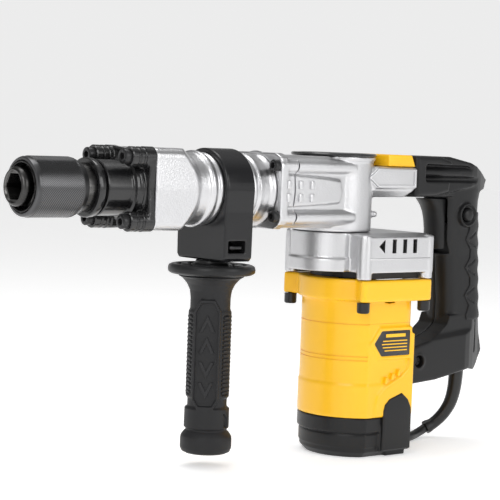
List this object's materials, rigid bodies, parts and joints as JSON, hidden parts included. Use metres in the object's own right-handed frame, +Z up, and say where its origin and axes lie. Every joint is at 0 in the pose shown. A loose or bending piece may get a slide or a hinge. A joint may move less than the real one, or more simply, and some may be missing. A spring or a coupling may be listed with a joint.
{
  "type": "demolition hammer",
  "caption": "Electric demolition hammer with a hex tool holder, a band-clamped side handle and a D-shaped rear handle with trigger and lock button.",
  "frame": {"origin": "centre of the motor's base foot, on the floor, on the motor's shaft axis", "axes": "+X from the tool holder towards the rear handle, along the striking axis; +Y across the tool, to the operator's right; +Z up along the motor's shaft"},
  "size_m": [0.4457, 0.174, 0.2258],
  "materials": {
    "cast_aluminium": "satin",
    "black_metal": "gloss",
    "blackened_steel": "satin",
    "ground_steel": "satin",
    "copper": "satin",
    "carbon": "matt",
    "yellow_plastic": "satin gloss",
    "dark_plastic": "satin",
    "soft_rubber": "matt",
    "cord_rubber": "satin"
  },
  "bodies": {
    "housing": {"cylinder_housing": "cast_aluminium", "crankcase": "cast_aluminium", "gear_housing": "cast_aluminium", "bearing_plate": "cast_aluminium", "front_cover": "black_metal", "top_cover": "black_metal", "front_bolt_1": "black_metal", "front_bolt_2": "black_metal", "front_bolt_3": "black_metal", "front_bolt_4": "black_metal", "case_bolt_1": "black_metal", "case_bolt_2": "black_metal", "case_bolt_3": "black_metal", "case_bolt_4": "black_metal", "flange_screw_1": "black_metal", "flange_screw_2": "black_metal", "flange_screw_3": "black_metal", "flange_screw_4": "black_metal", "tool_holder": "blackened_steel", "stop_ring": "blackened_steel", "sleeve_spring": "ground_steel", "cylinder_liner": "ground_steel", "crank_bearing": "ground_steel", "upper_bearing": "ground_steel", "lower_bearing": "ground_steel", "stator": "ground_steel", "carbon_brush_left": "carbon", "carbon_brush_right": "carbon", "motor_housing": "yellow_plastic", "accent_panel": "yellow_plastic", "base_cap": "dark_plastic", "brush_cover_left": "dark_plastic", "brush_cover_right": "dark_plastic", "label_plate": "dark_plastic", "handle_left": "dark_plastic", "handle_right": "dark_plastic", "switch": "dark_plastic", "rubber_grip": "soft_rubber", "cord_boot": "cord_rubber", "cord": "cord_rubber", "cord_coil": "cord_rubber", "mains_plug": "cord_rubber"},
    "sleeve": {"retainer_sleeve": "blackened_steel"},
    "clamp": {"handle_clamp": "dark_plastic", "clamp_nut": "ground_steel"},
    "side_handle": {"side_grip": "soft_rubber", "grip_guard": "dark_plastic", "handle_stud": "ground_steel"},
    "beat": {"beat_piece": "ground_steel"},
    "striker": {"striker": "ground_steel"},
    "piston": {"piston": "cast_aluminium", "piston_pin": "ground_steel"},
    "rod": {"connecting_rod": "ground_steel"},
    "crank": {"crankshaft": "ground_steel"},
    "armature": {"armature_shaft": "ground_steel", "armature_core": "copper", "commutator": "copper", "cooling_fan": "dark_plastic"},
    "trigger": {"trigger": "dark_plastic"},
    "lock_button": {"lock_button": "dark_plastic"}
  },
  "joints": [
    {"name": "sleeve_slide", "type": "slide", "parent": "housing", "child": "sleeve", "axis": [1, 0, 0], "range_m": [0, 0.0065], "stiffness_N_per_m": 800, "springref_m": -0.006},
    {"name": "clamp_swivel", "type": "hinge", "parent": "housing", "child": "clamp", "pos_m": [-0.1395, 0, 0.197], "axis": [1, 0, 0], "continuous": true},
    {"name": "handle_screw", "type": "hinge", "parent": "clamp", "child": "side_handle", "pos_m": [-0.141, 0, 0.14], "axis": [0, 0, 1], "continuous": true},
    {"name": "beat_slide", "type": "slide", "parent": "housing", "child": "beat", "axis": [1, 0, 0], "range_m": [-0.004, 0.01]},
    {"name": "striker_slide", "type": "slide", "parent": "housing", "child": "striker", "axis": [1, 0, 0], "range_m": [-0.01, 0.012]},
    {"name": "piston_slide", "type": "slide", "parent": "housing", "child": "piston", "axis": [1, 0, 0], "range_m": [0, 0.024]},
    {"name": "rod_swing", "type": "hinge", "parent": "piston", "child": "rod", "pos_m": [-0.08, 0, 0.197], "axis": [0, 0, 1], "range_deg": [-17.9, 17.9]},
    {"name": "armature_spin", "type": "hinge", "parent": "housing", "child": "armature", "pos_m": [0, 0, 0.08], "axis": [0, 0, 1], "continuous": true},
    {"name": "crank_spin", "type": "hinge", "parent": "housing", "child": "crank", "pos_m": [-0.029, 0, 0.15], "axis": [0, 0, 1], "continuous": true},
    {"name": "trigger_pull", "type": "hinge", "parent": "housing", "child": "trigger", "pos_m": [0.078, 0, 0.191], "axis": [0, -1, 0], "range_deg": [0, 10], "stiffness_Nm_per_rad": 0.6, "springref_deg": -8.59},
    {"name": "lock_button_push", "type": "slide", "parent": "housing", "child": "lock_button", "axis": [0, 1, 0], "range_m": [0, 0.003], "stiffness_N_per_m": 400, "springref_m": -0.003}
  ],
  "couplings": [
    {"joint": "crank_spin", "follows": "armature_spin", "ratio": -0.20833}
  ]
}
